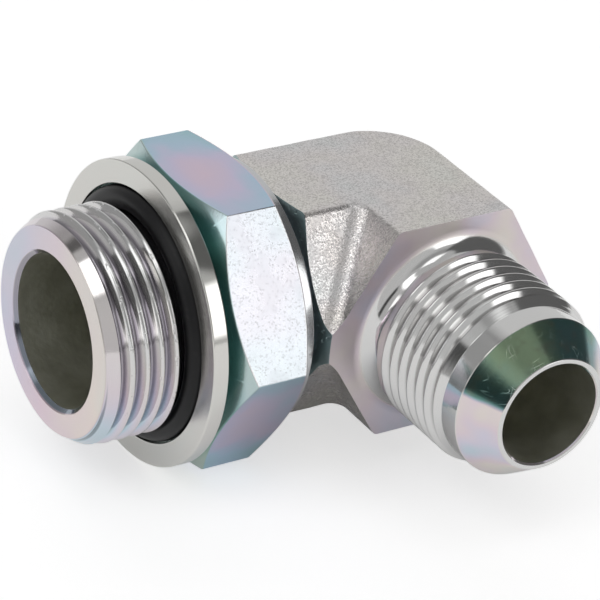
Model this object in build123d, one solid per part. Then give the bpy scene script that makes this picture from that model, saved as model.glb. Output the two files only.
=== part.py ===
from build123d import *
import math
import os

# A right-angle adjustable elbow fitting in plated steel: one forging with a port stud turned on
# one arm and a 37 degree flare end on the other, a lock nut on the stud, and a retaining ring
# and an O-ring in front of the nut. All sizes are millimetres.
#
# Frame: the origin lies on the stud's axis in the plane of the retaining ring's front face,
# where the port's face comes. The stud points along -X, the flare end along -Y, and the top
# flat of the forging faces +Z. Lengths called reach run out along an arm from the point where
# the two arms' axes cross.

# Forging: a six-sided bar section with a trimmed parting land at each side
body_half_height = 16.6
flat_half_width = 9.5
body_half_width = 18.4
land_half_height = 2.2
flat_edge_radius = 1.2
outer_corner_radius = 10.0
crotch_radius = 2.2
stud_shoulder_reach = 20.3
flare_shoulder_reach = 19.1
shoulder_chamfer_radius = 16.0
shoulder_chamfer_angle = 24.0
shoulder_overlap = 6.0

# Port stud: pipe thread of nominal size 1, with an undercut for the seal
stud_pitch_radius = 15.885
stud_thread_half_depth = 0.735
stud_pitch = 2.309
stud_half_flank_angle = 27.5
port_face_reach = 39.7
stud_thread_end_reach = 41.65
stud_thread_end_taper = 0.45
stud_thread_length = 11.0
stud_tip_radius = 15.0
stud_lead_angle = 32.0
undercut_depth = 1.085
undercut_length = 6.3
stud_neck_radius = 15.2
stud_neck_length = 3.2
stud_bore_radius = 11.05
stud_mouth_radius = 11.72
stud_bore_past_crossing = 2.5

# Flare end: 1-1/16 inch unified thread with a 37 degree cone
flare_crest_radius = 13.49
flare_root_radius = 12.19
flare_pitch = 2.1167
flare_half_flank_angle = 30.0
flare_fillet_rim_radius = 15.14
flare_relief_radius = 12.3
flare_thread_start_reach = 22.4
flare_lead_start_reach = 35.6
flare_lead_end_reach = 37.3
flare_neck_radius = 12.35
flare_cone_base_reach = 40.6
flare_cone_angle = 37.0
flare_rim_radius = 8.6
flare_bore_radius = 7.775
flare_mouth_chamfer = 0.25
flare_bore_past_crossing = 7.0

# Lock nut: hexagon with a 30 degree chamfer and a round boss at each end
nut_thread_clearance = 0.05
nut_wall = 4.665
nut_chamfer_angle = 30.0
nut_boss_wall = 3.565
nut_boss_length = 1.3
nut_hexagon_length = 12.7
nut_boss_edge = 0.3
nut_mouth_chamfer = 0.415

# Retaining ring and O-ring
ring_width = 3.48
ring_thickness = 2.4
ring_edge = 0.2
face_clearance = 0.04
o_ring_section_radius = 1.765
o_ring_seat_clearance = 0.06
o_ring_rim_clearance = 0.23

# Cutting: the drills' half angle, and how far cutters run out past what they cut
drill_point_angle = 59.0
cutter_margin = 1.0
groove_overrun = 0.2

# Corners nearer than this to a plane or line are on it
same_place = 1e-4


def tan_degrees(degrees):
    return math.tan(math.radians(degrees))


# Places that follow from the driving sizes
stud_crest_radius = stud_pitch_radius + stud_thread_half_depth
stud_root_radius = stud_pitch_radius - stud_thread_half_depth
undercut_radius = stud_pitch_radius - undercut_depth
stud_tip_reach = stud_thread_end_reach + stud_thread_length
bend = flat_half_width - outer_corner_radius
arm_length = stud_shoulder_reach + flare_shoulder_reach
stud_arm = Plane(origin=(port_face_reach, 0, 0), x_dir=(-1, 0, 0), z_dir=(0, 1, 0))
flare_arm = Plane(origin=(port_face_reach, 0, 0), x_dir=(0, -1, 0), z_dir=(-1, 0, 0))
ring_bore_radius = (
    undercut_radius + o_ring_seat_clearance + 2 * o_ring_section_radius + o_ring_rim_clearance
)
ring_outer_radius = ring_bore_radius + ring_width
ring_back_reach = port_face_reach - ring_thickness
nut_front_reach = ring_back_reach - face_clearance
nut_length = nut_hexagon_length + 2 * nut_boss_length
nut_back_reach = nut_front_reach - nut_length
nut_bore_radius = stud_pitch_radius + nut_thread_clearance
nut_across_flats = 2 * (nut_bore_radius + nut_wall)
nut_boss_radius = nut_bore_radius + nut_boss_wall
undercut_end_reach = stud_thread_end_reach - undercut_length
flare_tip_reach = flare_cone_base_reach + (
    (flare_neck_radius - flare_rim_radius) / tan_degrees(flare_cone_angle)
)


def revolved(profile, arm):
    """Turn closed outlines, given as (reach, radius) points, round an arm's axis."""
    faces = [make_face(Polyline(*points, close=True)) for points in profile]
    axis = Axis(arm.origin, arm.x_dir)
    return revolve(arm * Sketch(children=faces), axis=axis)


def drilled(bore_radius, mouth_reach, end_reach, arm):
    """A drilled hole from an arm's mouth to a drill point past end_reach."""
    point_length = bore_radius / tan_degrees(drill_point_angle)
    outline = [
        (mouth_reach + cutter_margin, 0),
        (mouth_reach + cutter_margin, bore_radius),
        (end_reach, bore_radius),
        (end_reach - point_length, 0),
    ]
    return revolved([outline], arm)


def thread_grooves(first_crest, last_reach, pitch, crest_radius, root_radius, half_angle):
    """Ring grooves between thread crests, each a trapezoid that runs out past the crest."""
    slope = tan_degrees(half_angle)
    flank = (crest_radius - root_radius) * slope
    root_half = (pitch / 2 - flank) / 2
    mouth_half = root_half + flank + groove_overrun * slope
    grooves = []
    middle = first_crest + pitch / 2
    while middle + root_half < last_reach:
        grooves.append(
            [
                (middle - mouth_half, crest_radius + groove_overrun),
                (middle - root_half, root_radius),
                (middle + root_half, root_radius),
                (middle + mouth_half, crest_radius + groove_overrun),
            ]
        )
        middle += pitch
    return grooves


def bar_section():
    """The forging's section across an arm, sharp at its corners."""
    right = [
        (flat_half_width, body_half_height),
        (body_half_width, land_half_height),
        (body_half_width, -land_half_height),
        (flat_half_width, -body_half_height),
    ]
    left = [(-x, y) for x, y in reversed(right)]
    return make_face(Polyline(*right, *left, close=True))


def forged_blank():
    """Two bar arms joined by a round outer corner and a filleted mitre in the crotch."""
    section = bar_section()
    stud_plane = Plane(origin=(bend, 0, 0), x_dir=(0, 1, 0), z_dir=(-1, 0, 0))
    flare_plane = Plane(origin=(0, bend, 0), x_dir=(1, 0, 0), z_dir=(0, -1, 0))
    bar = extrude(stud_plane * section, amount=arm_length)
    bar += extrude(flare_plane * section, amount=arm_length)
    reach = 2 * body_half_width
    outer_half = section & (Pos(bend + reach, 0) * Rectangle(2 * reach, 2 * reach))
    corner_plane = Plane(origin=(bend, 0, 0), x_dir=(0, 1, 0), z_dir=(1, 0, 0))
    bar += revolve(corner_plane * outer_half, Axis((bend, bend, 0), (0, 0, -1)), 90)
    bar += crotch()
    return fillet([edge for edge in bar.edges() if rims_a_flat(edge)], flat_edge_radius)


def crotch():
    """The rounded valley between the arms' inner sides, down both mitres and across the land."""
    top = crotch_outline(flat_half_width, body_half_height)
    upper = crotch_outline(body_half_width, land_half_height)
    lower = crotch_outline(body_half_width, -land_half_height)
    bottom = crotch_outline(flat_half_width, -body_half_height)
    return loft([top, upper], ruled=True) + loft([upper, lower]) + loft([lower, bottom], ruled=True)


def crotch_outline(side, height):
    """An arc tangent to both arms' sides at one height, closed inside the forging."""
    tangent = side + crotch_radius
    middle = tangent - crotch_radius * math.sqrt(0.5)
    inside = side - crotch_radius
    arc = ThreePointArc((-tangent, -side), (-middle, -middle), (-side, -tangent))
    back = Polyline((-side, -tangent), (-inside, -inside), (-tangent, -side))
    return Pos(0, 0, height) * make_face(Curve(children=[arc, back]).edges())


def rims_a_flat(edge):
    """True for the edges of the top and bottom flats, save those at the arms' cut ends."""
    level = all(abs(abs(corner.Z) - body_half_height) < same_place for corner in edge.vertices())
    middle = edge.center()
    cut_end = min(middle.X, middle.Y) < bend - arm_length + same_place
    return level and not cut_end


def shoulder_cutter(reach, arm, chamfer_radius=None):
    """What a facing cut takes off an arm's end, with an optional chamfer on the corners."""
    far = reach + arm_length
    wide = 2 * body_half_width
    outline = [(reach, 0), (far, 0), (far, wide), (reach, wide)]
    if chamfer_radius:
        drop = (wide - chamfer_radius) * tan_degrees(shoulder_chamfer_angle)
        outline = [(reach, 0), (far, 0), (far, wide), (reach - drop, wide), (reach, chamfer_radius)]
    return revolved([outline], arm)


def stud_turning():
    """The turned port stud: neck, nut thread, undercut, port thread and lead chamfer."""
    lead = (stud_crest_radius - stud_tip_radius) / tan_degrees(stud_lead_angle)
    lead_start = stud_tip_reach - lead
    neck_end = stud_shoulder_reach + stud_neck_length
    step = stud_crest_radius - stud_root_radius
    blank = [
        (stud_shoulder_reach - shoulder_overlap, 0),
        (stud_shoulder_reach - shoulder_overlap, stud_neck_radius),
        (neck_end, stud_neck_radius),
        (neck_end + stud_pitch_radius - stud_neck_radius, stud_pitch_radius),
        (undercut_end_reach - stud_pitch_radius + undercut_radius, stud_pitch_radius),
        (undercut_end_reach, undercut_radius),
        (stud_thread_end_reach - stud_thread_end_taper, undercut_radius),
        (stud_thread_end_reach, stud_crest_radius),
        (lead_start, stud_crest_radius),
        (stud_tip_reach, stud_tip_radius),
        (stud_tip_reach, 0),
    ]
    crest_half = stud_pitch / 2 - step * tan_degrees(stud_half_flank_angle)
    first_crest = stud_thread_end_reach + crest_half / 2
    grooves = thread_grooves(
        first_crest,
        stud_tip_reach - lead / 2,
        stud_pitch,
        stud_crest_radius,
        stud_root_radius,
        stud_half_flank_angle,
    )
    return revolved([blank], stud_arm) - revolved(grooves, stud_arm)


def flare_turning():
    """The turned flare end: concave shoulder fillet, relief, thread, neck and cone."""
    sweep = flare_fillet_rim_radius - flare_relief_radius
    inner = flare_shoulder_reach - shoulder_overlap
    fillet_end = flare_shoulder_reach + sweep
    rise = flare_crest_radius - flare_relief_radius
    before = Polyline(
        (fillet_end, flare_relief_radius),
        (flare_thread_start_reach, flare_relief_radius),
        (flare_thread_start_reach + rise, flare_crest_radius),
        (flare_lead_start_reach, flare_crest_radius),
        (flare_lead_end_reach, flare_neck_radius),
        (flare_cone_base_reach, flare_neck_radius),
        (flare_tip_reach, flare_rim_radius),
        (flare_tip_reach, 0),
        (inner, 0),
        (inner, flare_fillet_rim_radius),
        (flare_shoulder_reach, flare_fillet_rim_radius),
    )
    depth = sweep * (1 - math.sqrt(0.5))
    hollow = ThreePointArc(
        (flare_shoulder_reach, flare_fillet_rim_radius),
        (flare_shoulder_reach + depth, flare_relief_radius + depth),
        (fillet_end, flare_relief_radius),
    )
    face = make_face(Curve(children=[before, hollow]).edges())
    blank = revolve(flare_arm * face, axis=Axis(flare_arm.origin, flare_arm.x_dir))
    grooves = thread_grooves(
        flare_thread_start_reach + rise,
        flare_lead_end_reach,
        flare_pitch,
        flare_crest_radius,
        flare_root_radius,
        flare_half_flank_angle,
    )
    return blank - revolved(grooves, flare_arm)


def elbow_body():
    """The forging, faced at both shoulders, with its two turned ends and the bent passage."""
    body = Pos(port_face_reach, 0, 0) * forged_blank()
    body -= shoulder_cutter(stud_shoulder_reach, stud_arm, shoulder_chamfer_radius)
    body -= shoulder_cutter(flare_shoulder_reach, flare_arm)
    body += stud_turning()
    body += flare_turning()
    body -= drilled(stud_bore_radius, stud_tip_reach, -stud_bore_past_crossing, stud_arm)
    body -= drilled(flare_bore_radius, flare_tip_reach, -flare_bore_past_crossing, flare_arm)
    widening = stud_mouth_radius - stud_bore_radius
    stud_mouth = [
        (stud_tip_reach, 0),
        (stud_tip_reach, stud_mouth_radius),
        (stud_tip_reach - widening, stud_bore_radius),
        (stud_tip_reach - widening, 0),
    ]
    flare_mouth = [
        (flare_tip_reach, 0),
        (flare_tip_reach, flare_bore_radius + flare_mouth_chamfer),
        (flare_tip_reach - flare_mouth_chamfer, flare_bore_radius),
        (flare_tip_reach - flare_mouth_chamfer, 0),
    ]
    body -= revolved([stud_mouth], stud_arm)
    body -= revolved([flare_mouth], flare_arm)
    return body


def lock_nut():
    """The hexagon nut, two flats level with the forging's, chamfered and bossed at both ends."""
    corner_radius = nut_across_flats / math.sqrt(3)
    hexagon_start = nut_back_reach + nut_boss_length
    section = Plane(
        origin=stud_arm.from_local_coords((hexagon_start, 0, 0)), x_dir=(0, 1, 0), z_dir=(-1, 0, 0)
    ) * RegularPolygon(corner_radius, 6)
    nut = extrude(section, amount=nut_hexagon_length)
    outer = corner_radius + cutter_margin
    outer_drop = (outer - nut_boss_radius) * tan_degrees(nut_chamfer_angle)
    hexagon_end = hexagon_start + nut_hexagon_length
    turned_limit = [
        (hexagon_start, 0),
        (hexagon_start, nut_boss_radius),
        (hexagon_start + outer_drop, outer),
        (hexagon_end - outer_drop, outer),
        (hexagon_end, nut_boss_radius),
        (hexagon_end, 0),
    ]
    nut &= revolved([turned_limit], stud_arm)
    bosses = [
        (nut_back_reach, 0),
        (nut_back_reach, nut_boss_radius - nut_boss_edge),
        (nut_back_reach + nut_boss_edge, nut_boss_radius),
        (nut_front_reach - nut_boss_edge, nut_boss_radius),
        (nut_front_reach, nut_boss_radius - nut_boss_edge),
        (nut_front_reach, 0),
    ]
    nut += revolved([bosses], stud_arm)
    mouth_radius = nut_bore_radius + nut_mouth_chamfer
    hole = [
        (nut_back_reach, 0),
        (nut_back_reach, mouth_radius),
        (nut_back_reach + nut_mouth_chamfer, nut_bore_radius),
        (nut_front_reach - nut_mouth_chamfer, nut_bore_radius),
        (nut_front_reach, mouth_radius),
        (nut_front_reach, 0),
    ]
    return nut - revolved([hole], stud_arm)


def retaining_ring():
    """The flat machined ring round the O-ring, with its sharp edges broken."""
    outline = [
        (ring_back_reach, ring_bore_radius),
        (ring_back_reach, ring_outer_radius - ring_edge),
        (ring_back_reach + ring_edge, ring_outer_radius),
        (port_face_reach - ring_edge, ring_outer_radius),
        (port_face_reach, ring_outer_radius - ring_edge),
        (port_face_reach, ring_bore_radius),
    ]
    return revolved([outline], stud_arm)


def o_ring():
    """The O-ring in the undercut, in front of the nut and inside the retaining ring."""
    centre_reach = nut_front_reach + face_clearance + o_ring_section_radius
    centre_radius = undercut_radius + o_ring_seat_clearance + o_ring_section_radius
    circle = Pos(centre_reach, centre_radius) * Circle(o_ring_section_radius)
    return revolve(stud_arm * circle, axis=Axis(stud_arm.origin, stud_arm.x_dir))


os.makedirs("parts", exist_ok=True)
pieces = {
    "elbow_body": elbow_body(),
    "lock_nut": lock_nut(),
    "retaining_ring": retaining_ring(),
    "o_ring": o_ring(),
}
for name, piece in pieces.items():
    export_step(piece, f"parts/{name}.step")
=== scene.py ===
import math

import bmesh
import bpy
from mathutils import Matrix, Vector, noise


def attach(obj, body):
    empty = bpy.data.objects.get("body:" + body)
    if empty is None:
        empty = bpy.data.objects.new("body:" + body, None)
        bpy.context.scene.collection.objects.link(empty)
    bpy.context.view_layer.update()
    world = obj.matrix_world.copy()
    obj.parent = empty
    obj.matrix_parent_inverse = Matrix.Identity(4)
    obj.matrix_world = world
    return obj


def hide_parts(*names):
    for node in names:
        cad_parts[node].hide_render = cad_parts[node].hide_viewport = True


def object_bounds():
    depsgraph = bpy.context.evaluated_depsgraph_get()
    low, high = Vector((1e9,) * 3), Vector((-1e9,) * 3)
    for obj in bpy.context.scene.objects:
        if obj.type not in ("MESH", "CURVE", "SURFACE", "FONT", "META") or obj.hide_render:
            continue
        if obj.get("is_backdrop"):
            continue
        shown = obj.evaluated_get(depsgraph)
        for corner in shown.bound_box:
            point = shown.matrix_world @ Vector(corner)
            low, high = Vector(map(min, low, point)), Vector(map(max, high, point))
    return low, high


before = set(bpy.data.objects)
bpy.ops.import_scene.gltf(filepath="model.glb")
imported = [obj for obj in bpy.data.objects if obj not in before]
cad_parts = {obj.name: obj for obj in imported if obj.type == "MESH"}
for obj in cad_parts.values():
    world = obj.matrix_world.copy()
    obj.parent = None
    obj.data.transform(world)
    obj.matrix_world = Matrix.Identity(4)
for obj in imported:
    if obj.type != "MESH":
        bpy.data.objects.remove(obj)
cad_low, cad_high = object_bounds()
mm = 0.001

# The forging: a hot-forged steel elbow, six-sided across each arm, with a trimmed parting land
# round its middle. It is shot-blasted before plating, so its skin stays grainy and matt.
port_face = 39.7 * mm
body_half_height = 16.6 * mm
flat_half_width = 9.5 * mm
body_half_width = 18.4 * mm
land_half_height = 2.2 * mm
flat_edge_radius = 1.2 * mm
land_edge_radius = 0.25 * mm
outer_corner_radius = 10.0 * mm
crotch_radius = 2.4 * mm
arm_reach = 26.0 * mm
die_wear = 0.07 * mm
die_wear_length = 3.2 * mm
facet_levels = 12
stud_shoulder = 20.3 * mm
flare_shoulder = 19.1 * mm


def rounded(points, radii, steps=4, closed=False):
    """The polyline with an arc in place of each corner that has a radius."""
    out = []
    for i, (point, radius) in enumerate(zip(points, radii)):
        here = Vector(point)
        if not radius or (not closed and i in (0, len(points) - 1)):
            out.append(here)
            continue
        back = (Vector(points[i - 1]) - here).normalized()
        on = (Vector(points[(i + 1) % len(points)]) - here).normalized()
        half = back.angle(on) / 2
        centre = here + (back + on).normalized() * radius / math.sin(half)
        first = here + back * radius / math.tan(half) - centre
        last = here + on * radius / math.tan(half) - centre
        turn = math.atan2(first.x * last.y - first.y * last.x, first.dot(last))
        for k in range(steps + 1):
            out.append(centre + Matrix.Rotation(turn * k / steps, 2) @ first)
    return out


def divided(start, end, count):
    """Points from start towards end, short of it."""
    return [Vector(start).lerp(Vector(end), k / count) for k in range(count)]


def arc(centre, radius, first_deg, last_deg, count):
    """Points round an arc, short of its end."""
    turns = [math.radians(first_deg + (last_deg - first_deg) * k / count) for k in range(count)]
    return [Vector(centre) + radius * Vector((math.cos(t), math.sin(t))) for t in turns]


def forging_outline(side):
    """The forging's plan where its sides lie this far from the arms' axes, which cross at 0, 0."""
    bend = flat_half_width - outer_corner_radius
    valley = -side - crotch_radius
    outline = divided((-arm_reach, side), (bend, side), 24)
    outline += arc((bend, bend), side - bend, 90, 0, 28)
    outline += divided((side, bend), (side, -arm_reach), 24)
    outline += divided((side, -arm_reach), (-side, -arm_reach), 2)
    outline += divided((-side, -arm_reach), (-side, valley), 12)
    outline += arc((valley, valley), crotch_radius, 0, 90, 10)
    outline += divided((valley, -side), (-arm_reach, -side), 12)
    outline += divided((-arm_reach, -side), (-arm_reach, side), 2)
    return outline


def mesh_object(name, build):
    """An object at the origin, made of a closed bmesh whose faces are turned outwards."""
    shape = bmesh.new()
    build(shape)
    bmesh.ops.remove_doubles(shape, verts=shape.verts, dist=0.002 * mm)
    bmesh.ops.recalc_face_normals(shape, faces=shape.faces)
    mesh = bpy.data.meshes.new(name)
    shape.to_mesh(mesh)
    shape.free()
    made = bpy.data.objects.new(name, mesh)
    bpy.context.scene.collection.objects.link(made)
    return made


def uneven(plan, height):
    """A level of the forging, moved in and out a little as a worn die leaves it."""
    level = []
    for i, point in enumerate(plan):
        run = plan[(i + 1) % len(plan)] - plan[i - 1]
        out = Vector((-run.y, run.x)).normalized()
        where = Vector((point.x, point.y, height)) / die_wear_length
        depth = noise.noise(where) + 0.5 * noise.noise(where * 2.7) - 0.6
        level.append(point + out * min(depth, 0) * die_wear)
    return level


def forging(shape):
    """Levels of the plan from the top flat to the bottom flat, and a cap on each flat."""
    section = [
        (0, body_half_height),
        (flat_half_width, body_half_height),
        (body_half_width, land_half_height),
        (body_half_width, -land_half_height),
        (flat_half_width, -body_half_height),
        (0, -body_half_height),
    ]
    radii = [0, flat_edge_radius, land_edge_radius, land_edge_radius, flat_edge_radius, 0]
    profile = rounded(section, radii, 6)[1:-1]
    steps = []
    for here, there in zip(profile, profile[1:]):
        count = facet_levels if (there - here).length > land_half_height * 2.5 else 1
        steps += divided(here, there, count)
    levels = []
    for side, height in steps + profile[-1:]:
        plan = uneven(forging_outline(side), height)
        levels.append([shape.verts.new((port_face + p.x, p.y, height)) for p in plan])
    count = len(levels[0])
    for upper, lower in zip(levels, levels[1:]):
        for k in range(count):
            n = (k + 1) % count
            shape.faces.new((upper[k], upper[n], lower[n], lower[k]))
    shape.faces.new(levels[0])
    shape.faces.new(levels[-1])


def along(arm_axis):
    """Places local x and y across an arm, and local z out along it from the arms' crossing."""
    out = Vector(arm_axis)
    up = Vector((0, 0, 1))
    turned = Matrix((up.cross(out), up, out)).transposed().to_4x4()
    return Matrix.Translation((port_face, 0, 0)) @ turned


stud_arm = along((-1, 0, 0))
flare_arm = along((0, -1, 0))


def turned(name, outline, arm, around, closed=False):
    """A solid of revolution from (reach, radius) points. An open outline that ends off the arm's
    axis gets a flat end."""

    def build(shape):
        rings = []
        for reach, radius in outline:
            if radius < 1e-9:
                rings.append([shape.verts.new(arm @ Vector((0, 0, reach)))] * around)
                continue
            ring = []
            for k in range(around):
                t = 2 * math.pi * k / around
                place = Vector((radius * math.cos(t), radius * math.sin(t), reach))
                ring.append(shape.verts.new(arm @ place))
            rings.append(ring)
        pairs = list(zip(rings, rings[1:]))
        if closed:
            pairs.append((rings[-1], rings[0]))
        for a, b in pairs:
            for k in range(around):
                n = (k + 1) % around
                corners = dict.fromkeys((a[k], a[n], b[n], b[k]))
                shape.faces.new(list(corners))
        for ring, (reach, radius) in ((rings[0], outline[0]), (rings[-1], outline[-1])):
            if radius > 1e-9 and not closed:
                shape.faces.new(ring)

    return mesh_object(name, build)


def combined(base, tool, operation):
    """base with the tool cut from it or joined to it. The tool is used up."""
    modifier = base.modifiers.new(operation, "BOOLEAN")
    modifier.operation = operation
    modifier.object = tool
    modifier.solver = "EXACT"
    view = bpy.context.evaluated_depsgraph_get()
    result = bpy.data.meshes.new_from_object(base.evaluated_get(view))
    base.modifiers.clear()
    base.data = result
    bpy.data.objects.remove(tool)
    shape = bmesh.new()
    shape.from_mesh(result)
    bmesh.ops.remove_doubles(shape, verts=shape.verts, dist=0.0005 * mm)
    bmesh.ops.dissolve_degenerate(shape, edges=shape.edges, dist=0.0005 * mm)
    shape.to_mesh(result)
    shape.free()
    return base


shoulder_chamfer_radius = 16.0 * mm
shoulder_chamfer_slope = math.tan(math.radians(24))
cut_radius = 30 * mm
cut_reach = 34 * mm
corner_drop = (cut_radius - shoulder_chamfer_radius) * shoulder_chamfer_slope
stud_facing = [
    (stud_shoulder, shoulder_chamfer_radius),
    (stud_shoulder - corner_drop, cut_radius),
    (cut_reach, cut_radius),
]
flare_facing = [(flare_shoulder, cut_radius), (cut_reach, cut_radius)]
elbow = mesh_object("elbow_forging", forging)
combined(elbow, turned("stud_facing", stud_facing, stud_arm, 96), "DIFFERENCE")
combined(elbow, turned("flare_facing", flare_facing, flare_arm, 96), "DIFFERENCE")


# The port stud and the flare end, turned on the same forging. Both threads are right-handed: the
# stud has a rounded pipe thread, and the flare end a unified one with sharper crests.
class Wire:
    """One output in a node tree. Sums and products of wires add Math nodes."""

    def __init__(self, sheet, socket):
        self.sheet = sheet
        self.socket = socket

    def math(self, operation, *others):
        return self.sheet.add("ShaderNodeMath", {"operation": operation}, [self, *others])

    def __add__(self, other):
        return self.math("ADD", other)

    def __sub__(self, other):
        return self.math("SUBTRACT", other)

    def __mul__(self, other):
        return self.math("MULTIPLY", other)

    def __truediv__(self, other):
        return self.math("DIVIDE", other)

    def __rsub__(self, other):
        return self.sheet.add("ShaderNodeMath", {"operation": "SUBTRACT"}, [other, self])

    def __rtruediv__(self, other):
        return self.sheet.add("ShaderNodeMath", {"operation": "DIVIDE"}, [other, self])

    __radd__ = __add__
    __rmul__ = __mul__

    def part(self, name):
        """Another output of the same node."""
        return Wire(self.sheet, self.sheet.find(self.socket.node.outputs, name))


class Sheet:
    """A node tree to which nodes are added by type, settings and inputs."""

    def __init__(self, tree):
        self.tree = tree

    def find(self, sockets, name):
        if isinstance(name, int):
            return sockets[name]
        return next(s for s in sockets if name in (s.identifier, s.name))

    def add(self, kind, settings=None, inputs=(), output=0):
        node = self.tree.nodes.new(kind)
        for key, value in (settings or {}).items():
            if key == "stops":
                stops = node.color_ramp.elements
                for place, colour in value[2:]:
                    stops.new(place)
                for stop, (place, colour) in zip(stops, value):
                    stop.position = place
                    stop.color = (*colour, 1)
            elif key == "curve":
                curve = node.mapping.curves[0]
                for place in value[1:-1]:
                    curve.points.new(*place)
                for point, place in zip(curve.points, value):
                    point.location = place
                    point.handle_type = "VECTOR"
                node.mapping.update()
            else:
                setattr(node, key, value)
        named = inputs.items() if isinstance(inputs, dict) else enumerate(inputs)
        for key, value in named:
            socket = self.find(node.inputs, key)
            if isinstance(value, Wire):
                self.tree.links.new(value.socket, socket)
            else:
                socket.default_value = value
        return Wire(self, self.find(node.outputs, output)) if node.outputs else node


def thread_tool_tree(name, form):
    """Geometry nodes for the tool that cuts one thread: a screw surface along local z, joined to
    a wall round it, or with a wall radius of 0 to its core. form gives the thread's height, from
    0 at the root to 1 at the crest, against the share of half a pitch from root to crest."""
    tree = bpy.data.node_groups.new(name, "GeometryNodeTree")
    sheet = Sheet(tree)
    radii = ("Crest Radius", "Root Radius", "Wall Radius")
    sizes = (*radii, "Pitch", "Start Reach", "End Reach", "Runout Reach")
    for size in sizes:
        tree.interface.new_socket(size, in_out="INPUT", socket_type="NodeSocketFloat")
    for size in ("Columns", "Rows Per Pitch"):
        tree.interface.new_socket(size, in_out="INPUT", socket_type="NodeSocketInt")
    tree.interface.new_socket("Material", in_out="INPUT", socket_type="NodeSocketMaterial")
    tree.interface.new_socket("Geometry", in_out="OUTPUT", socket_type="NodeSocketGeometry")
    given = sheet.add("NodeGroupInput")
    crest, root, wall, pitch, start, end, runout = (given.part(size) for size in sizes)
    columns = given.part("Columns")
    turns = (end - start) / pitch
    whole_turns = turns.math("CEIL") + 1

    def placed(reach, radius, turn):
        angle = turn * (2 * math.pi)
        place = [radius * angle.math("COSINE"), radius * angle.math("SINE"), reach]
        return sheet.add("ShaderNodeCombineXYZ", {}, place)

    def thread_radius(reach, turn):
        phase = ((reach - start) / pitch - turn + 1.5).math("FRACT")
        from_root = ((phase - 0.5).math("ABSOLUTE") * -2 + 1).math("MAXIMUM", 0)
        height = sheet.add("ShaderNodeFloatCurve", {"curve": form}, {"Value": 1 - from_root})
        return (root + (crest - root) * height).math("MAXIMUM", root + (reach - runout))

    def grid(rows):
        size = {"Size X": 1.0, "Size Y": 1.0, "Vertices X": columns + 1, "Vertices Y": rows}
        made = sheet.add("GeometryNodeMeshGrid", {}, size)
        place = sheet.add("ShaderNodeSeparateXYZ", {}, [sheet.add("GeometryNodeInputPosition")])
        return made, place.part("X") + 0.5, place.part("Y") + 0.5

    screw, turn, row = grid(whole_turns * given.part("Rows Per Pitch") + 1)
    reach = start + pitch * (row * whole_turns - 1 + turn)
    reach = reach.math("MAXIMUM", start).math("MINIMUM", end)
    place = placed(reach, thread_radius(reach, turn), turn)
    screw = sheet.add("GeometryNodeSetPosition", {}, {"Geometry": screw, "Position": place})

    shell, turn, row = grid(4)
    reach = start + (end - start) * row.math("GREATER_THAN", 0.5)
    on_wall = (row - 0.5).math("ABSOLUTE").math("LESS_THAN", 0.3)
    radius = thread_radius(reach, turn)
    place = placed(reach, radius + (wall - radius) * on_wall, turn)
    shell = sheet.add("GeometryNodeSetPosition", {}, {"Geometry": shell, "Position": place})

    both = sheet.add("GeometryNodeJoinGeometry")
    for wire in (screw, shell):
        tree.links.new(wire.socket, both.socket.node.inputs[0])
    touching = {"Geometry": both, "Distance": 0.002 * mm}
    merged = sheet.add("GeometryNodeMergeByDistance", {}, touching)
    real = sheet.add("GeometryNodeRealizeInstances", {}, {"Geometry": merged})
    coated = {"Geometry": real, "Material": given.part("Material")}
    coated = sheet.add("GeometryNodeSetMaterial", {}, coated)
    sheet.add("NodeGroupOutput", {}, {"Geometry": coated})
    return tree


pipe_form = [(0, 0), (0.1, 0.015), (0.2, 0.08), (0.3, 0.2)]
pipe_form += [(1 - share, 1 - height) for share, height in reversed(pipe_form)]
unified_form = [(0, 0), (1 / 12, 0), (1 / 6, 0.05), (3 / 4, 0.84)]
unified_form += [(5 / 6, 0.95), (11 / 12, 0.995), (1, 1)]
pipe_thread = thread_tool_tree("pipe_thread", pipe_form)
unified_thread = thread_tool_tree("unified_thread", unified_form)


def thread_tool(name, tree, arm, material, **inputs):
    """The closed cutting tool that a thread tree makes, set along an arm."""
    tool = bpy.data.objects.new(name, bpy.data.meshes.new(name))
    bpy.context.scene.collection.objects.link(tool)
    modifier = tool.modifiers.new(name, "NODES")
    modifier.node_group = tree
    inputs["Material"] = material
    for socket in tree.interface.items_tree:
        if socket.in_out == "INPUT":
            modifier[socket.identifier] = inputs[socket.name.replace(" ", "_")]
    view = bpy.context.evaluated_depsgraph_get()
    mesh = bpy.data.meshes.new_from_object(tool.evaluated_get(view))
    tool.modifiers.clear()
    tool.data = mesh
    shape = bmesh.new()
    shape.from_mesh(mesh)
    bmesh.ops.transform(shape, matrix=arm, verts=shape.verts)
    bmesh.ops.dissolve_degenerate(shape, edges=shape.edges, dist=0.0005 * mm)
    bmesh.ops.recalc_face_normals(shape, faces=shape.faces)
    shape.to_mesh(mesh)
    shape.free()
    return tool


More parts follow.
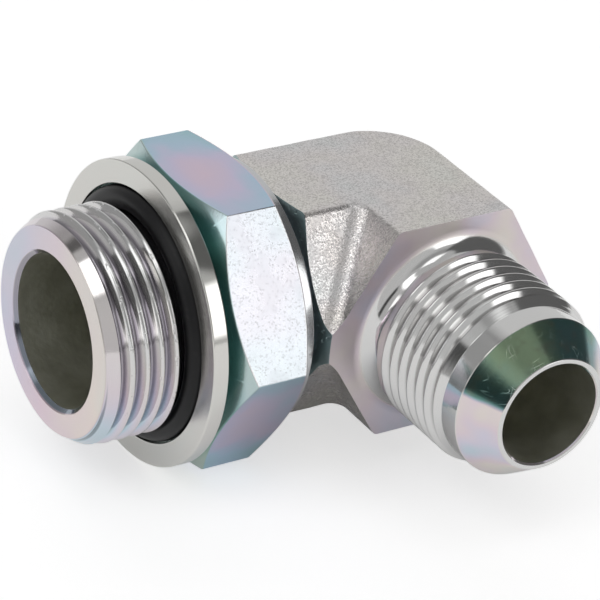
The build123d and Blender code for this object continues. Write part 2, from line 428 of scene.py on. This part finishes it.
tool_steel = bpy.data.materials.new("tool_steel")
stud_pitch = 2.309 * mm
stud_crest_radius = 16.62 * mm
stud_root_radius = 15.15 * mm
stud_tip = 52.65 * mm
stud_tip_radius = 15.0 * mm
lead_slope = math.tan(math.radians(32))
spare = 0.3 * mm
blank_radius = stud_crest_radius + spare
undercut_radius = 14.8 * mm
undercut_start = 35.35 * mm
undercut_end = 41.2 * mm
thread_end_face = 41.65 * mm
neck_radius = 15.2 * mm
neck_end = 23.5 * mm
overlap = 6 * mm
around = 192
lead_start = stud_tip - (blank_radius - stud_tip_radius) / lead_slope
end_face_slope = (thread_end_face - undercut_end) / (stud_crest_radius - undercut_radius)
stud_outline = [
    (stud_shoulder - overlap, neck_radius),
    (neck_end, neck_radius),
    (neck_end + blank_radius - neck_radius, blank_radius),
    (undercut_start - blank_radius + undercut_radius, blank_radius),
    (undercut_start, undercut_radius),
    (undercut_end, undercut_radius),
    (thread_end_face + end_face_slope * spare, blank_radius),
    (lead_start, blank_radius),
    (stud_tip, stud_tip_radius),
    (stud_tip, stud_tip_radius / 2),
]
stud_edges = [0, 0.3 * mm, 0, 0, 0.5 * mm, 0.4 * mm, 0, 0, 0.25 * mm, 0]
stud = turned("port_stud", rounded(stud_outline, stud_edges), stud_arm, around)
no_runout = 60 * mm
stud_thread = {
    "Crest_Radius": stud_crest_radius,
    "Root_Radius": stud_root_radius,
    "Wall_Radius": 20 * mm,
    "Pitch": stud_pitch,
    "Start_Reach": 40.814 * mm,
    "End_Reach": 54 * mm,
    "Runout_Reach": no_runout,
    "Columns": around,
    "Rows_Per_Pitch": 20,
}
shank_thread = dict(stud_thread, Start_Reach=22.342 * mm, End_Reach=36.2 * mm, Rows_Per_Pitch=12)
for name, sizes in (("port_thread", stud_thread), ("shank_thread", shank_thread)):
    cutter = thread_tool(name, pipe_thread, stud_arm, tool_steel, **sizes)
    combined(stud, cutter, "DIFFERENCE")

flare_crest_radius = 13.49 * mm
flare_root_radius = 12.3 * mm
flare_relief_radius = 12.26 * mm
flare_fillet_rim = 15.14 * mm
flare_thread_start = 22.4 * mm
flare_lead_start = 35.6 * mm
flare_lead_end = 37.3 * mm
flare_neck_radius = 12.35 * mm
flare_cone_base = 40.6 * mm
flare_tip = 45.58 * mm
flare_rim_radius = 8.6 * mm
flare_blank = flare_crest_radius + spare
sweep = flare_fillet_rim - flare_relief_radius
lead_rise = (flare_lead_end - flare_lead_start) / (flare_crest_radius - flare_neck_radius)
fillet = arc((flare_shoulder + sweep, flare_fillet_rim), sweep, 180, 270, 14)
under_rim = fillet[0] + (fillet[0] - fillet[1]) * 3
flare_outline = [
    Vector((flare_shoulder - overlap, under_rim.y)),
    under_rim,
    *fillet[1:],
    *rounded(
        [
            (flare_shoulder + sweep, flare_relief_radius),
            (flare_thread_start, flare_relief_radius),
            (flare_thread_start + flare_blank - flare_relief_radius, flare_blank),
            (flare_lead_start - spare * lead_rise, flare_blank),
            (flare_lead_end, flare_neck_radius),
            (flare_cone_base, flare_neck_radius),
            (flare_tip, flare_rim_radius),
            (flare_tip, flare_rim_radius / 2),
        ],
        [0, 0, 0, 0, 0.15 * mm, 0.25 * mm, 0.15 * mm, 0],
    ),
]
flare = turned("flare_end", flare_outline, flare_arm, around)
flare_thread = {
    "Crest_Radius": flare_crest_radius,
    "Root_Radius": flare_root_radius,
    "Wall_Radius": 18 * mm,
    "Pitch": 2.1167 * mm,
    "Start_Reach": 21.88 * mm,
    "End_Reach": 37.4 * mm,
    "Runout_Reach": 36.35 * mm,
    "Columns": around,
    "Rows_Per_Pitch": 24,
}
cutter = thread_tool("flare_thread", unified_thread, flare_arm, tool_steel, **flare_thread)
combined(flare, cutter, "DIFFERENCE")

stud_bore_radius = 11.05 * mm
stud_mouth_radius = 11.72 * mm
flare_bore_radius = 7.775 * mm
flare_mouth = 0.25 * mm
past_tip = 2 * mm
drill_point = math.tan(math.radians(59))
stud_drill = [
    (-2.5 * mm - stud_bore_radius / drill_point, 0),
    (-2.5 * mm, stud_bore_radius),
    (stud_tip - stud_mouth_radius + stud_bore_radius, stud_bore_radius),
    (stud_tip + past_tip, stud_mouth_radius + past_tip),
    (stud_tip + past_tip, 0),
]
flare_drill = [
    (-7 * mm - flare_bore_radius / drill_point, 0),
    (-7 * mm, flare_bore_radius),
    (flare_tip - flare_mouth, flare_bore_radius),
    (flare_tip + past_tip, flare_bore_radius + flare_mouth + past_tip),
    (flare_tip + past_tip, 0),
]
combined(elbow, stud, "UNION")
combined(elbow, flare, "UNION")
combined(elbow, turned("stud_drill", stud_drill, stud_arm, around), "DIFFERENCE")
combined(elbow, turned("flare_drill", flare_drill, flare_arm, around), "DIFFERENCE")
film_stops = [
    (0.0, (0.78, 0.77, 0.68)),
    (0.18, (0.86, 0.73, 0.64)),
    (0.36, (0.80, 0.60, 0.70)),
    (0.52, (0.66, 0.60, 0.80)),
    (0.68, (0.46, 0.64, 0.80)),
    (0.84, (0.32, 0.62, 0.64)),
    (1.0, (0.36, 0.60, 0.44)),
]
silver = (0.72, 0.725, 0.73, 1)


class Finish(Sheet):
    """A plated material's nodes. Its coordinates are the object's, in millimetres."""

    def __init__(self, name, metallic=0.96):
        self.material = bpy.data.materials.new(name)
        self.material.use_nodes = True
        super().__init__(self.material.node_tree)
        self.shader = self.tree.nodes["Principled BSDF"]
        self.shader.inputs["Metallic"].default_value = metallic
        self.shader.inputs["Specular IOR Level"].default_value = 0.3
        place = self.add("ShaderNodeTexCoord", {}, {}, "Object")
        to_mm = {"Vector": place, "Scale": 1 / mm}
        place = self.add("ShaderNodeVectorMath", {"operation": "SCALE"}, to_mm)
        self.place = place
        split = self.add("ShaderNodeSeparateXYZ", {}, [place])
        self.x, self.y, self.z = (split.part(axis) for axis in "XYZ")

    def step(self, value, low, high):
        """0 below low, 1 above high and smooth between them."""
        ends = {"Value": value, "From Min": low, "From Max": high}
        return self.add("ShaderNodeMapRange", {"interpolation_type": "SMOOTHSTEP"}, ends)

    def noise(self, scale, detail=2.0, at=None, w=0.0, roughness=0.5):
        """Noise from 0 to 1 whose grains are about 1 / scale millimetres across."""
        given = {"W": w, "Scale": scale, "Detail": detail, "Roughness": roughness}
        given["Vector"] = at or self.place
        return self.add("ShaderNodeTexNoise", {"noise_dimensions": "4D"}, given)

    def mix(self, factor, first, second, blend="MIX"):
        """From the first colour to the second."""
        colours = {"Factor_Float": factor, "A_Color": first, "B_Color": second}
        settings = {"data_type": "RGBA", "blend_type": blend}
        return self.add("ShaderNodeMix", settings, colours, "Result_Color")

    def film(self, thickness, amount, metal=silver):
        """The metal under a passivation film, whose colour runs with the film's thickness."""
        tint = self.add("ShaderNodeValToRGB", {"stops": film_stops}, {"Fac": thickness})
        return self.mix(amount, metal, tint)

    def lines(self, reach, radius, side, up, scale=3.0):
        """Turning marks: noise that changes along a turned profile and hardly round it."""
        around = self.add("ShaderNodeCombineXYZ", {}, [side / radius, up / radius, radius * scale])
        return self.noise(1.0, 3.0, around, reach * scale)

    def feed(self, **wires):
        """Links what changes over the surface to the shader, and a height in mm to its bump."""
        for name, wire in wires.items():
            if name == "Height":
                name = "Normal"
                settings = {"Height": wire, "Distance": mm, "Strength": 1.0}
                wire = self.add("ShaderNodeBump", {}, settings)
            socket = self.shader.inputs[name.replace("_", " ")]
            self.tree.links.new(wire.socket, socket)
        return self.material


def forged_skin():
    """Shot-blasted and plated forging skin: a sparkling grain and a faint tint. The trimmed land
    is smoother."""
    f = Finish("forged_zinc_skin")
    grain = f.noise(3.6, 3.0)
    waves = f.noise(0.7, 1.0, w=3.0)
    pits = f.step(f.noise(4.2, 2.0, w=7.0), 0.42, 0.66)
    cloud = f.noise(0.09, 2.0, w=11.0)
    land_edge = land_half_height / mm
    land = 1 - f.step(f.z.math("ABSOLUTE"), land_edge - 0.1, land_edge + 0.1)
    skin = 1 - land * 0.8
    tint = f.film(cloud * 1.6 - 0.4, 0.14, (0.80, 0.79, 0.755, 1))
    tint = f.mix(land * 0.6, tint, (0.70, 0.74, 0.60, 1))
    shade = 1 - pits * skin * 0.28
    grey = f.add("ShaderNodeCombineColor", {}, [shade, shade, shade])
    return f.feed(
        Base_Color=f.mix(1.0, tint, grey, "MULTIPLY"),
        Roughness=f.step(f.noise(0.5, 2.0, w=5.0), 0.3, 0.7) * 0.10 + 0.20 - land * 0.04,
        Height=grain * skin * 0.055 + waves * 0.04 - pits * skin * 0.015,
    )


def turned_stud():
    """The turned port stud: silver, tinted pink and lilac on its face and low on its threads,
    with painted shade in its thread roots, and a teal film with painted shade over it in the
    corner behind the nut."""
    f = Finish("turned_stud_zinc")
    reach = port_face / mm - f.x
    radius = (f.y * f.y + f.z * f.z).math("SQRT")
    cloud = f.noise(0.07, 2.0)
    face = f.step(reach, 52.4, 52.6)
    # The corner behind the nut: a teal film, darkened there with painted shade.
    corner = 1 - f.step(reach, 20.4, 22.0)
    to_lead = radius + (reach - stud_tip / mm) * lead_slope
    lead = f.step(to_lead, stud_tip_radius / mm - 0.15, stud_tip_radius / mm - 0.05) * (1 - face)
    down = f.step(f.z * -1, -9.0, 12.0)
    depth = f.step(radius * -1, -16.6, -15.3) * (1 - face) * (1 - lead)
    # The thread roots, where painted shade darkens the colour.
    root = f.step(radius * -1, -15.9, -15.25) * (1 - face) * (1 - lead) * (1 - corner)
    on_face = 0.34 + f.y * 0.014 + (cloud - 0.5) * 0.45
    on_thread = down * 0.42 + (cloud - 0.5) * 0.5 + depth * 0.34 + lead * 0.25
    thickness = on_thread + face * (on_face - on_thread) + corner * (0.84 - on_thread)
    patches = f.step(f.noise(0.12, 1.0, w=4.0), 0.2, 0.8)
    amount = patches * 0.12 + down * 0.22 + depth * down * 0.35 + face * 0.34 + lead * 0.15
    amount = amount + corner * 0.30 + 0.04
    marks = f.lines(reach, radius, f.y, f.z)
    crest = f.step(radius, 16.2, 16.5)
    nicks = f.step(f.noise(1.3, 2.0, w=9.0), 0.60, 0.68) * crest
    # Painted shade: the corner behind the nut is darkened towards dark teal, over its teal film.
    metal = f.mix(corner * 0.30, f.film(thickness, amount), (0.22, 0.32, 0.32, 1))
    polish = marks * 0.06 + f.noise(0.3, 2.0, w=2.0) * 0.06 + 0.03
    return f.feed(
        # Painted shade: the thread roots are darkened in colour.
        Base_Color=f.mix(root * 0.62, metal, (0.14, 0.12, 0.16, 1)),
        Roughness=polish + face * 0.14 + corner * 0.25,
        Height=marks * (0.003 + face * 0.006) - nicks * 0.05,
    )


def turned_flare():
    """The turned flare end: a lilac shoulder, pale fillet and threads with painted shade in their
    roots, and a cone whose film is deep green above and pastel below."""
    f = Finish("turned_flare_zinc")
    reach = f.y * -1
    side = f.x - port_face / mm
    radius = (side * side + f.z * f.z).math("SQRT")
    cloud = f.noise(0.09, 2.0, w=6.0)
    shoulder = 1 - f.step(reach, 19.2, 19.5)
    cone = f.step(reach, 40.5, 40.8) * (1 - f.step(reach, 45.4, 45.55))
    film_edge = math.radians(164)
    above = side * math.sin(film_edge) - f.z * math.cos(film_edge)
    upper = f.step(above + (cloud - 0.5) * 1.5, -0.3, 0.6) * cone
    upper = upper * (1 - f.step(side / radius, 0.70, 0.92) * 0.8)
    mottle = f.noise(0.5, 3.0, w=21.0) - 0.5
    cone_film = 0.30 + (cloud - 0.5) * 2.4 + upper * 0.6
    body_film = 0.06 + (cloud - 0.5) * 0.3
    shoulder_film = 0.42 + (cloud - 0.5) * 1.4
    thickness = body_film + cone * (cone_film - body_film) + shoulder * (shoulder_film - body_film)
    amount = 0.14 + cone * (0.36 + upper * 0.3) + shoulder * 0.32
    marks = f.lines(reach, radius, side, f.z)
    threaded = f.step(reach, 22.2, 22.6) * (1 - f.step(reach, 36.0, 36.4))
    # The thread roots, where painted shade darkens the colour.
    root = f.step(radius * -1, -12.95, -12.4) * threaded
    scratches = None
    for turn, w in ((0.35, 2.0), (1.5, 5.0), (2.4, 8.0)):
        u = side * math.cos(turn) + f.z * math.sin(turn)
        v = f.z * math.cos(turn) - side * math.sin(turn)
        across = f.add("ShaderNodeCombineXYZ", {}, [u * 0.10, v * 0.9, reach * 0.3])
        line = 1 - f.step((f.noise(1.0, 0.0, across, w) - 0.5).math("ABSOLUTE"), 0.002, 0.008)
        scratches = line if scratches is None else scratches.math("MAXIMUM", line)
    scratches = scratches * upper * f.step(f.noise(0.35, 1.0, w=13.0), 0.54, 0.66)
    fan = math.radians(116)
    fan_side = (side * math.cos(fan) + f.z * math.sin(fan)) / radius
    pale = f.step(fan_side + mottle * 0.16, 0.80, 1.0)
    deep = f.mix(pale, (0.07, 0.20, 0.17, 1), (0.30, 0.40, 0.24, 1))
    deep = f.mix(f.step(mottle, 0.0, 0.2) * 0.5, deep, (0.18, 0.17, 0.10, 1))
    metal = f.mix(upper * 0.80, f.film(thickness, amount), deep)
    # Painted shade: the thread roots are darkened in colour.
    metal = f.mix(root * 0.55, metal, (0.16, 0.15, 0.15, 1))
    polish = marks * 0.06 + f.noise(0.3, 2.0, w=2.0) * 0.06 + 0.04
    return f.feed(
        Base_Color=f.mix(scratches * 0.35, metal, silver),
        Roughness=polish + scratches * 0.15 + upper * 0.04 + shoulder * 0.34,
        Height=marks * 0.004 - scratches * 0.01,
    )


def drilled_bore():
    """The drilled passage: dull, with feed marks and dark stains."""
    f = Finish("drilled_passage")
    stain = f.noise(0.16, 3.0, w=8.0)
    drill = f.noise(0.8, 2.0, w=1.0)
    return f.feed(
        Base_Color=f.mix(f.step(stain, 0.35, 0.7), (0.62, 0.62, 0.53, 1), (0.80, 0.80, 0.72, 1)),
        Roughness=stain * 0.20 + 0.30,
        Height=drill * 0.06,
    )


def arm_place(arm, point):
    """How far out along an arm a point lies, and how far from its axis."""
    local = arm.inverted() @ point
    return local.z, math.hypot(local.x, local.y)


elbow_finishes = [forged_skin(), turned_stud(), turned_flare(), drilled_bore()]
elbow.data.materials.clear()
for finish in elbow_finishes:
    elbow.data.materials.append(finish)
hair = 0.02 * mm
drill_end = -12 * mm
arm_corner = math.hypot(body_half_width, land_half_height) + hair * 10
for face in elbow.data.polygons:
    stud_reach, stud_radius = arm_place(stud_arm, face.center)
    flare_reach, flare_radius = arm_place(flare_arm, face.center)
    past_flat = max(0, stud_radius - shoulder_chamfer_radius)
    cone_reach = stud_shoulder - past_flat * shoulder_chamfer_slope
    in_bore = (
        stud_radius < stud_bore_radius + hair and drill_end < stud_reach < stud_tip - 0.8 * mm
    ) or (
        flare_radius < flare_bore_radius + hair and drill_end < flare_reach < flare_tip - 0.3 * mm
    )
    face.material_index = 0
    if in_bore:
        face.material_index = 3
    elif stud_reach > cone_reach - hair and stud_radius < arm_corner:
        face.material_index = 1
    elif flare_reach > flare_shoulder - hair and flare_radius < arm_corner:
        face.material_index = 2


def shaded(piece, sharp_deg=30):
    """Smooth shading that stays crisp at edges sharper than this."""
    piece.data.shade_smooth()
    piece.data.set_sharp_from_angle(angle=math.radians(sharp_deg))
    weighted = piece.modifiers.new("crisp_flats", "WEIGHTED_NORMAL")
    weighted.keep_sharp = True
    weighted.weight = 80


shaded(elbow)
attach(elbow, "elbow")
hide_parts("elbow_body")

# The lock nut: a hexagon nut turned from bar, with a 30 degree chamfer and a round boss at each
# end, tapped with the stud's own thread. It is plated with the rest.
nut_half_flats = 20.6 * mm
nut_corner_radius = 0.3 * mm
nut_boss_radius = 19.5 * mm
nut_boss_length = 1.3 * mm
nut_boss_edge = 0.25 * mm
nut_edge = 0.14 * mm
nut_chamfer = math.tan(math.radians(30))
nut_back = 21.96 * mm
nut_front = 37.26 * mm
nut_bore_radius = 15.3 * mm
nut_mouth_radius = 16.75 * mm


def hexagon_radius(turn):
    """The hexagon's radius in a direction, in degrees, with its corners at 0, 60 and so on."""
    off = math.radians(abs((turn + 30) % 60 - 30))
    corner = (nut_half_flats - nut_corner_radius) / math.cos(math.radians(30))
    reach = corner * math.sin(off)
    if reach < nut_corner_radius * math.cos(off + math.radians(60)) or off < 1e-9:
        return corner * math.cos(off) + math.sqrt(nut_corner_radius**2 - reach**2)
    flat_start = corner + nut_corner_radius * math.cos(math.radians(30))
    edge_off = math.atan2(nut_corner_radius * 0.5, flat_start)
    if off < edge_off:
        return corner * math.cos(off) + math.sqrt(nut_corner_radius**2 - reach**2)
    return nut_half_flats / math.cos(math.radians(30) - off)


def nut_rows(turn):
    """(reach, radius) down one line of the nut, out along its outside and back through its bore."""
    radius = hexagon_radius(turn)
    drop = (radius - nut_boss_radius) * nut_chamfer
    slant = Vector((-nut_chamfer, -1)).normalized() * nut_edge
    hexagon_end = nut_front - nut_boss_length
    chamfer_end = Vector((hexagon_end - drop, radius))
    flat_side = chamfer_end - Vector((nut_edge, 0))
    cone_side = chamfer_end - Vector((slant.x, -slant.y))
    half = [
        Vector((nut_front - nut_mouth_radius + nut_bore_radius, nut_bore_radius)),
        Vector((nut_front, nut_mouth_radius)),
        Vector((nut_front, nut_boss_radius - nut_boss_edge)),
        Vector((nut_front - 0.3 * nut_boss_edge, nut_boss_radius - 0.3 * nut_boss_edge)),
        Vector((nut_front - nut_boss_edge, nut_boss_radius)),
        Vector((hexagon_end, nut_boss_radius)),
        cone_side,
        (cone_side + flat_side + 2 * chamfer_end) / 4,
        flat_side,
    ]
    middle = (nut_front + nut_back) / 2
    back = [Vector((2 * middle - p.x, p.y)) for p in reversed(half)]
    return half + back


def hexagon_nut(shape):
    fine = [0, 0.12, 0.24, 0.36, 0.8]
    side = fine + [2.5 + 2.5 * k for k in range(23)] + [60 - t for t in reversed(fine[1:])]
    lines = []
    for turn in [60 * k + t for k in range(6) for t in side]:
        t = math.radians(turn)
        line = []
        for reach, radius in nut_rows(turn):
            place = Vector((radius * math.cos(t), radius * math.sin(t), reach))
            line.append(shape.verts.new(stud_arm @ place))
        lines.append(line)
    for a, b in zip(lines, lines[1:] + lines[:1]):
        for k in range(len(a)):
            n = (k + 1) % len(a)
            shape.faces.new((a[k], a[n], b[n], b[k]))


nut = mesh_object("hexagon_lock_nut", hexagon_nut)
tap = dict(
    shank_thread,
    Crest_Radius=stud_crest_radius + 0.07 * mm,
    Root_Radius=stud_root_radius + 0.07 * mm,
    Wall_Radius=0.0,
    End_Reach=40 * mm,
    Start_Reach=20.033 * mm,
)
cutter = thread_tool("nut_tap", pipe_thread, stud_arm, tool_steel, **tap)
combined(nut, cutter, "DIFFERENCE")


def plated_nut():
    """Zinc with a film that runs from pink in each flat's middle to teal on the chamfers, and
    painted shade on the front chamfer beside the boss, behind the ring.
    """
    f = Finish("passivated_nut_zinc")
    middle = (port_face - (nut_front + nut_back) / 2) / mm
    along_nut = (f.x - middle).math("ABSOLUTE")
    radius = (f.y * f.y + f.z * f.z).math("SQRT")
    flats = nut_half_flats / mm
    across = (radius * radius - flats * flats).math("MAXIMUM", 0).math("SQRT")
    half_hexagon = (nut_front - nut_back) / 2 / mm - nut_boss_length / mm
    chamfer = half_hexagon - along_nut - (radius - nut_boss_radius / mm) * nut_chamfer
    on_chamfer = 1 - f.step(chamfer, 0.05, 0.30)
    on_boss = f.step(along_nut, half_hexagon, half_hexagon + 0.05)
    cloud = f.noise(0.13, 2.0, w=1.0) - 0.5
    edge = f.step(across + cloud * 7.0, 2.0, 12.0) * 0.22
    edge = edge + f.step(along_nut + cloud * 4.0, 1.5, 6.5) * 0.12
    low = f.step(f.z * -1, 2.0, 15.0)
    front = f.step(middle - f.x, -1.0, 1.0)
    boss = nut_boss_radius / mm
    # The chamfer beside the boss: more teal film, and painted shade on the front side.
    inner = 1 - f.step(radius + cloud * 1.5, boss + 0.8, boss + 2.9)
    bright_flat = f.step(f.z * 0.5 - f.y * math.cos(math.radians(30)), flats - 0.1, flats)
    thickness = 0.47 + edge + cloud * 0.25
    on_slope = 0.88 + low * 0.20 + cloud * 0.3 - (1 - front) * 0.5
    thickness = thickness + on_chamfer * (on_slope - thickness)
    amount = 0.86 - on_boss * 0.66 - bright_flat * 0.66
    amount = amount - on_chamfer * (0.45 - inner * 0.35 + (1 - front) * 0.1)
    pits = f.step(f.noise(3.2, 1.0, w=9.0), 0.58, 0.70) * (bright_flat * 0.8 + 0.2)
    grain = f.noise(2.6, 3.0, w=12.0)
    marks = f.lines(f.x, radius, f.y, f.z) * (on_chamfer + on_boss).math("MINIMUM", 1)
    metal = f.film(thickness, amount, (0.66, 0.67, 0.68, 1))
    # Painted shade: the front chamfer beside the boss, behind the ring, is darkened to dark teal,
    # less so low down.
    metal = f.mix(on_chamfer * front * inner * (0.80 - low * 0.3), metal, (0.06, 0.17, 0.16, 1))
    metal = f.mix(bright_flat * 0.15, metal, (0.50, 0.50, 0.51, 1))
    return f.feed(
        Base_Color=f.mix(pits * 0.16, metal, (0.36, 0.36, 0.38, 1)),
        Roughness=f.noise(0.3, 2.0, w=2.0) * 0.10 + 0.12 + bright_flat * 0.10,
        Height=grain * (0.006 + bright_flat * 0.016) - pits * 0.008 + marks * 0.005,
    )


nut.data.materials.clear()
nut.data.materials.append(plated_nut())
shaded(nut)
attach(nut, "nut")
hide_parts("lock_nut")

# The retaining ring: a flat ring turned from bar and plated, which lies round the O-ring in
# front of the nut and keeps it from being squeezed out sideways.
ring_outer_radius = 22.1 * mm
ring_bore_radius = 18.62 * mm
ring_back = 37.3 * mm
ring_outline = [
    (ring_back, ring_bore_radius),
    (port_face, ring_bore_radius),
    (port_face, ring_outer_radius),
    (ring_back, ring_outer_radius),
]
ring_edges = [0.15 * mm, 0.15 * mm, 0.22 * mm, 0.22 * mm]
ring_outline = rounded(ring_outline, ring_edges, 4, True)
ring = turned("seal_retaining_ring", ring_outline, stud_arm, 256, True)


def satin_ring():
    """Zinc over fine concentric turning marks, warm and nearly untinted."""
    f = Finish("satin_ring_zinc")
    radius = (f.y * f.y + f.z * f.z).math("SQRT")
    cloud = f.noise(0.08, 2.0, w=5.0)
    marks = f.lines(f.x, radius, f.y, f.z, 5.0)
    rim = f.step(radius, ring_outer_radius / mm - 0.2, ring_outer_radius / mm - 0.05)
    return f.feed(
        Base_Color=f.film(cloud * 0.5 - 0.15, 0.2, (0.70, 0.71, 0.69, 1)),
        Roughness=(marks * 0.10 + cloud * 0.10 + 0.12) * (1 - rim * 0.6),
        Height=marks * (0.006 - rim * 0.0045),
    )


ring.data.materials.append(satin_ring())
shaded(ring, 40)
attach(ring, "seal")
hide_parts("retaining_ring")

# The O-ring: moulded black nitrile rubber, stretched into the stud's undercut.
o_ring_section = 1.765 * mm
o_ring_reach = 39.065 * mm
o_ring_radius = 16.625 * mm


def nitrile_rubber():
    """Matt black rubber with a moulded grain."""
    f = Finish("nitrile_rubber", 0.0)
    dust = f.step(f.noise(0.8, 4.0, w=2.0), 0.55, 0.8)
    return f.feed(
        Base_Color=f.mix(dust, (0.008, 0.008, 0.009, 1), (0.020, 0.020, 0.022, 1)),
        Roughness=dust * 0.15 + 0.40,
        Height=f.noise(3.0, 2.0) * 0.010,
    )


seal = turned(
    "rubber_o_ring",
    arc((o_ring_reach, o_ring_radius), o_ring_section, 0, 360, 32),
    stud_arm,
    192,
    True,
)
seal.data.materials.append(nitrile_rubber())
shaded(seal, 60)
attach(seal, "seal")
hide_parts("o_ring")

# The studio: a pale floor in a pale room. Softboxes stand front right, left and overhead, and
# black flags to the right and beside the camera, which stands where the photograph's did.
room = bpy.data.worlds.new("studio_room")
bpy.context.scene.world = room
room.use_nodes = True
air = Sheet(room.node_tree)
direction = air.add("ShaderNodeTexCoord", {}, {}, "Generated")
direction = air.add("ShaderNodeSeparateXYZ", {}, [direction])
to_degrees = 180 / math.pi
azimuth = direction.part("X").math("ARCTAN2", direction.part("Y") * -1) * to_degrees
elevation = direction.part("Z").math("ARCSINE") * to_degrees


def within(angle, low, high, soft):
    """1 where an angle in degrees lies between two others, fading over their edges."""
    off = (angle - (low + high) / 2).math("WRAP", 180, -180).math("ABSOLUTE")
    half = (high - low) / 2
    ends = {"Value": off, "From Min": half - soft, "From Max": half + soft}
    ends.update({"To Min": 1.0, "To Max": 0.0})
    return air.add("ShaderNodeMapRange", {"interpolation_type": "SMOOTHSTEP"}, ends)


# Azimuth from and to, from the front towards +X, elevation from and to, softness, brightness
room_areas = [
    (118, 190, -12, 60, 12, 0.66),
    (190, 252, -12, 48, 12, 0.34),
    (-55, 16, -12, 44, 6, 0.58),
    (-36, 50, 50, 68, 6, 0.34),
    (42, 112, 2, 62, 3, 0.11),
    (-67, -52, -12, 36, 3, 0.06),
    (19, 43, 4, 37, 2.5, 1.85),
    (-112, -58, 44, 62, 3, 2.0),
    (198, 226, 46, 64, 4, 0.10),
    (-112, -93, 6, 34, 3, 1.5),
    (-50, 60, 70, 120, 4, 1.5),
]
room_level = 0.5
level = room_level
for az_low, az_high, el_low, el_high, soft, bright in room_areas:
    area = within(azimuth, az_low, az_high, soft) * within(elevation, el_low, el_high, soft)
    level = level + area * (bright - level)
rays = air.add("ShaderNodeLightPath")
level = level + rays.part("Is Camera Ray") * (1 - level)
tone = air.add("ShaderNodeCombineColor", {}, [level, level, level])
room.node_tree.links.new(tone.socket, room.node_tree.nodes["Background"].inputs["Color"])

floor_finish = Finish("pale_floor", 0.0)
rays = floor_finish.add("ShaderNodeLightPath")
mirrored = rays.part("Is Glossy Ray") + rays.part("Is Transmission Ray")
# Painted shadow: near the object the floor glows less in reflections, since emission casts no
# shadow.
shadow_middle = (36.0, -8.0, cad_low.z / mm)
shadow_inner, shadow_outer = 10.0, 45.0
from_shadow = floor_finish.add(
    "ShaderNodeVectorMath",
    {"operation": "DISTANCE"},
    [floor_finish.place, shadow_middle],
    "Value",
)
lit = floor_finish.step(from_shadow, shadow_inner, shadow_outer)
seen = rays.part("Is Camera Ray") + mirrored * (lit * 0.65)
floor_finish.shader.inputs["Base Color"].default_value = (0.82, 0.82, 0.82, 1)
floor_finish.shader.inputs["Roughness"].default_value = 0.9
floor_finish.shader.inputs["Emission Strength"].default_value = 0.55
floor_finish.feed(Emission_Color=floor_finish.add("ShaderNodeCombineColor", {}, [seen, seen, seen]))
floor_half = 2.5


def floor_sheet(shape):
    corners = [(-1, -1), (1, -1), (1, 1), (-1, 1)]
    shape.faces.new([
        shape.verts.new((x * floor_half, y * floor_half, cad_low.z)) for x, y in corners
    ])


floor = mesh_object("floor", floor_sheet)
floor.data.materials.append(floor_finish.material)
floor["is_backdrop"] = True

camera = bpy.data.objects.new("camera", bpy.data.cameras.new("camera"))
bpy.context.scene.collection.objects.link(camera)
bpy.context.scene.camera = camera
camera.data.sensor_width = 36
camera.data.lens = 198.53
camera.data.clip_end = 20
right = Vector((0.843618, -0.527989, 0.097653))
up = Vector((0.195621, 0.471593, 0.859845))
camera.matrix_world = Matrix.Translation((-0.21155, -0.33867, 0.23612)) @ Matrix(
    (right, up, right.cross(up))
).transposed().to_4x4()

bpy.context.scene.view_settings.view_transform = "Standard"
low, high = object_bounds()
sizes = {"cad": [list(cad_low), list(cad_high)], "visual": [list(low), list(high)]}
